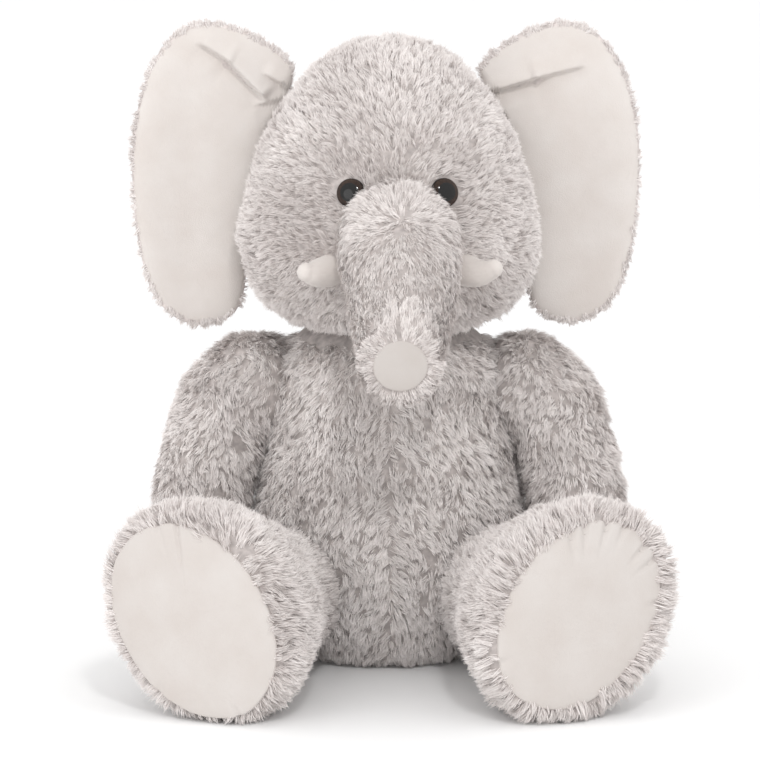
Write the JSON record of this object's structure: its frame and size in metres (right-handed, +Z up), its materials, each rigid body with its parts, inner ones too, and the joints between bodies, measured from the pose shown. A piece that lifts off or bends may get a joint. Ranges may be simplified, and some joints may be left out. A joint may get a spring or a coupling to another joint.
{
  "type": "stuffed elephant toy",
  "caption": "Large seated plush elephant with long-pile grey fur, cream ear linings, soles, trunk tip and tusks, and domed brown eyes.",
  "frame": {"origin": "centre of the flat seat under the torso, on the surface the toy sits on", "axes": "+Z up along the torso, -Y the way the toy faces, +X towards the toy's own left"},
  "size_m": [0.5098, 0.51, 0.6264],
  "materials": {
    "plush_body": "long-pile plush",
    "plush_head": "long-pile plush",
    "plush_trunk": "long-pile plush",
    "plush_ear": "long-pile plush",
    "plush_limb": "long-pile plush",
    "velboa_cream": "short-pile velboa",
    "fibre_filling": "loose polyester fibre",
    "ear_wadding": "bonded wadding",
    "eye_plastic": "gloss",
    "washer_plastic": "matte",
    "label_satin": "satin ribbon"
  },
  "bodies": {
    "torso": {"torso_panel_front_right": "plush_body", "torso_panel_front_left": "plush_body", "torso_panel_back_right": "plush_body", "torso_panel_back_left": "plush_body", "torso_filling": "fibre_filling", "label": "label_satin"},
    "head": {"head_panel_right": "plush_head", "head_panel_left": "plush_head", "head_filling": "fibre_filling", "eye_right": "eye_plastic", "eye_washer_right": "washer_plastic", "tusk_cover_right": "velboa_cream", "tusk_filling_right": "fibre_filling", "eye_left": "eye_plastic", "eye_washer_left": "washer_plastic", "tusk_cover_left": "velboa_cream", "tusk_filling_left": "fibre_filling"},
    "trunk": {"trunk_panel_right": "plush_trunk", "trunk_panel_left": "plush_trunk", "trunk_filling": "fibre_filling", "trunk_pad": "velboa_cream"},
    "tail": {"tail": "plush_limb", "tail_tuft": "plush_limb"},
    "ear_right": {"ear_lining_right": "velboa_cream", "ear_batting_right": "ear_wadding", "ear_back_right": "plush_ear"},
    "arm_right": {"arm_panel_front_right": "plush_limb", "arm_panel_back_right": "plush_limb", "arm_filling_right": "fibre_filling"},
    "leg_right": {"leg_panel_outer_right": "plush_limb", "leg_panel_inner_right": "plush_limb", "leg_filling_right": "fibre_filling", "sole_right": "velboa_cream"},
    "ear_left": {"ear_lining_left": "velboa_cream", "ear_batting_left": "ear_wadding", "ear_back_left": "plush_ear"},
    "arm_left": {"arm_panel_front_left": "plush_limb", "arm_panel_back_left": "plush_limb", "arm_filling_left": "fibre_filling"},
    "leg_left": {"leg_panel_outer_left": "plush_limb", "leg_panel_inner_left": "plush_limb", "leg_filling_left": "fibre_filling", "sole_left": "velboa_cream"}
  },
  "joints": [
    {"name": "neck_nod", "type": "hinge", "parent": "torso", "child": "head", "pos_m": [0, 0, 0.318], "axis": [1, 0, 0], "range_deg": [-15, 15], "stiffness_Nm_per_rad": 8},
    {"name": "trunk_lift", "type": "hinge", "parent": "head", "child": "trunk", "pos_m": [0.00806, -0.14975, 0.412], "axis": [-0.9981, -0.061, 0], "range_deg": [-10, 35], "stiffness_Nm_per_rad": 1},
    {"name": "ear_right_fold", "type": "hinge", "parent": "head", "child": "ear_right", "pos_m": [-0.14412, 0.01226, 0.42], "axis": [0.2897, 0.0177, 0.957], "range_deg": [-20, 20], "stiffness_Nm_per_rad": 0.25},
    {"name": "arm_right_raise", "type": "hinge", "parent": "torso", "child": "arm_right", "pos_m": [-0.128, -0.006, 0.27], "axis": [-0.4226, 0.9063, 0], "range_deg": [0, 50], "stiffness_Nm_per_rad": 1},
    {"name": "leg_right_splay", "type": "hinge", "parent": "torso", "child": "leg_right", "pos_m": [-0.095, -0.06, 0.07], "axis": [0, 0, -1], "range_deg": [-5, 18], "stiffness_Nm_per_rad": 3},
    {"name": "ear_left_fold", "type": "hinge", "parent": "head", "child": "ear_left", "pos_m": [0.13935, 0.0296, 0.42], "axis": [0.2896, 0.0177, -0.957], "range_deg": [-20, 20], "stiffness_Nm_per_rad": 0.25},
    {"name": "arm_left_raise", "type": "hinge", "parent": "torso", "child": "arm_left", "pos_m": [0.128, -0.006, 0.27], "axis": [-0.4226, -0.9063, 0], "range_deg": [0, 50], "stiffness_Nm_per_rad": 1},
    {"name": "leg_left_splay", "type": "hinge", "parent": "torso", "child": "leg_left", "pos_m": [0.095, -0.06, 0.07], "axis": [0, 0, 1], "range_deg": [-5, 18], "stiffness_Nm_per_rad": 3},
    {"name": "tail_lift", "type": "hinge", "parent": "torso", "child": "tail", "pos_m": [0, 0.139, 0.104], "axis": [1, 0, 0], "range_deg": [-15, 40], "stiffness_Nm_per_rad": 0.05}
  ]
}
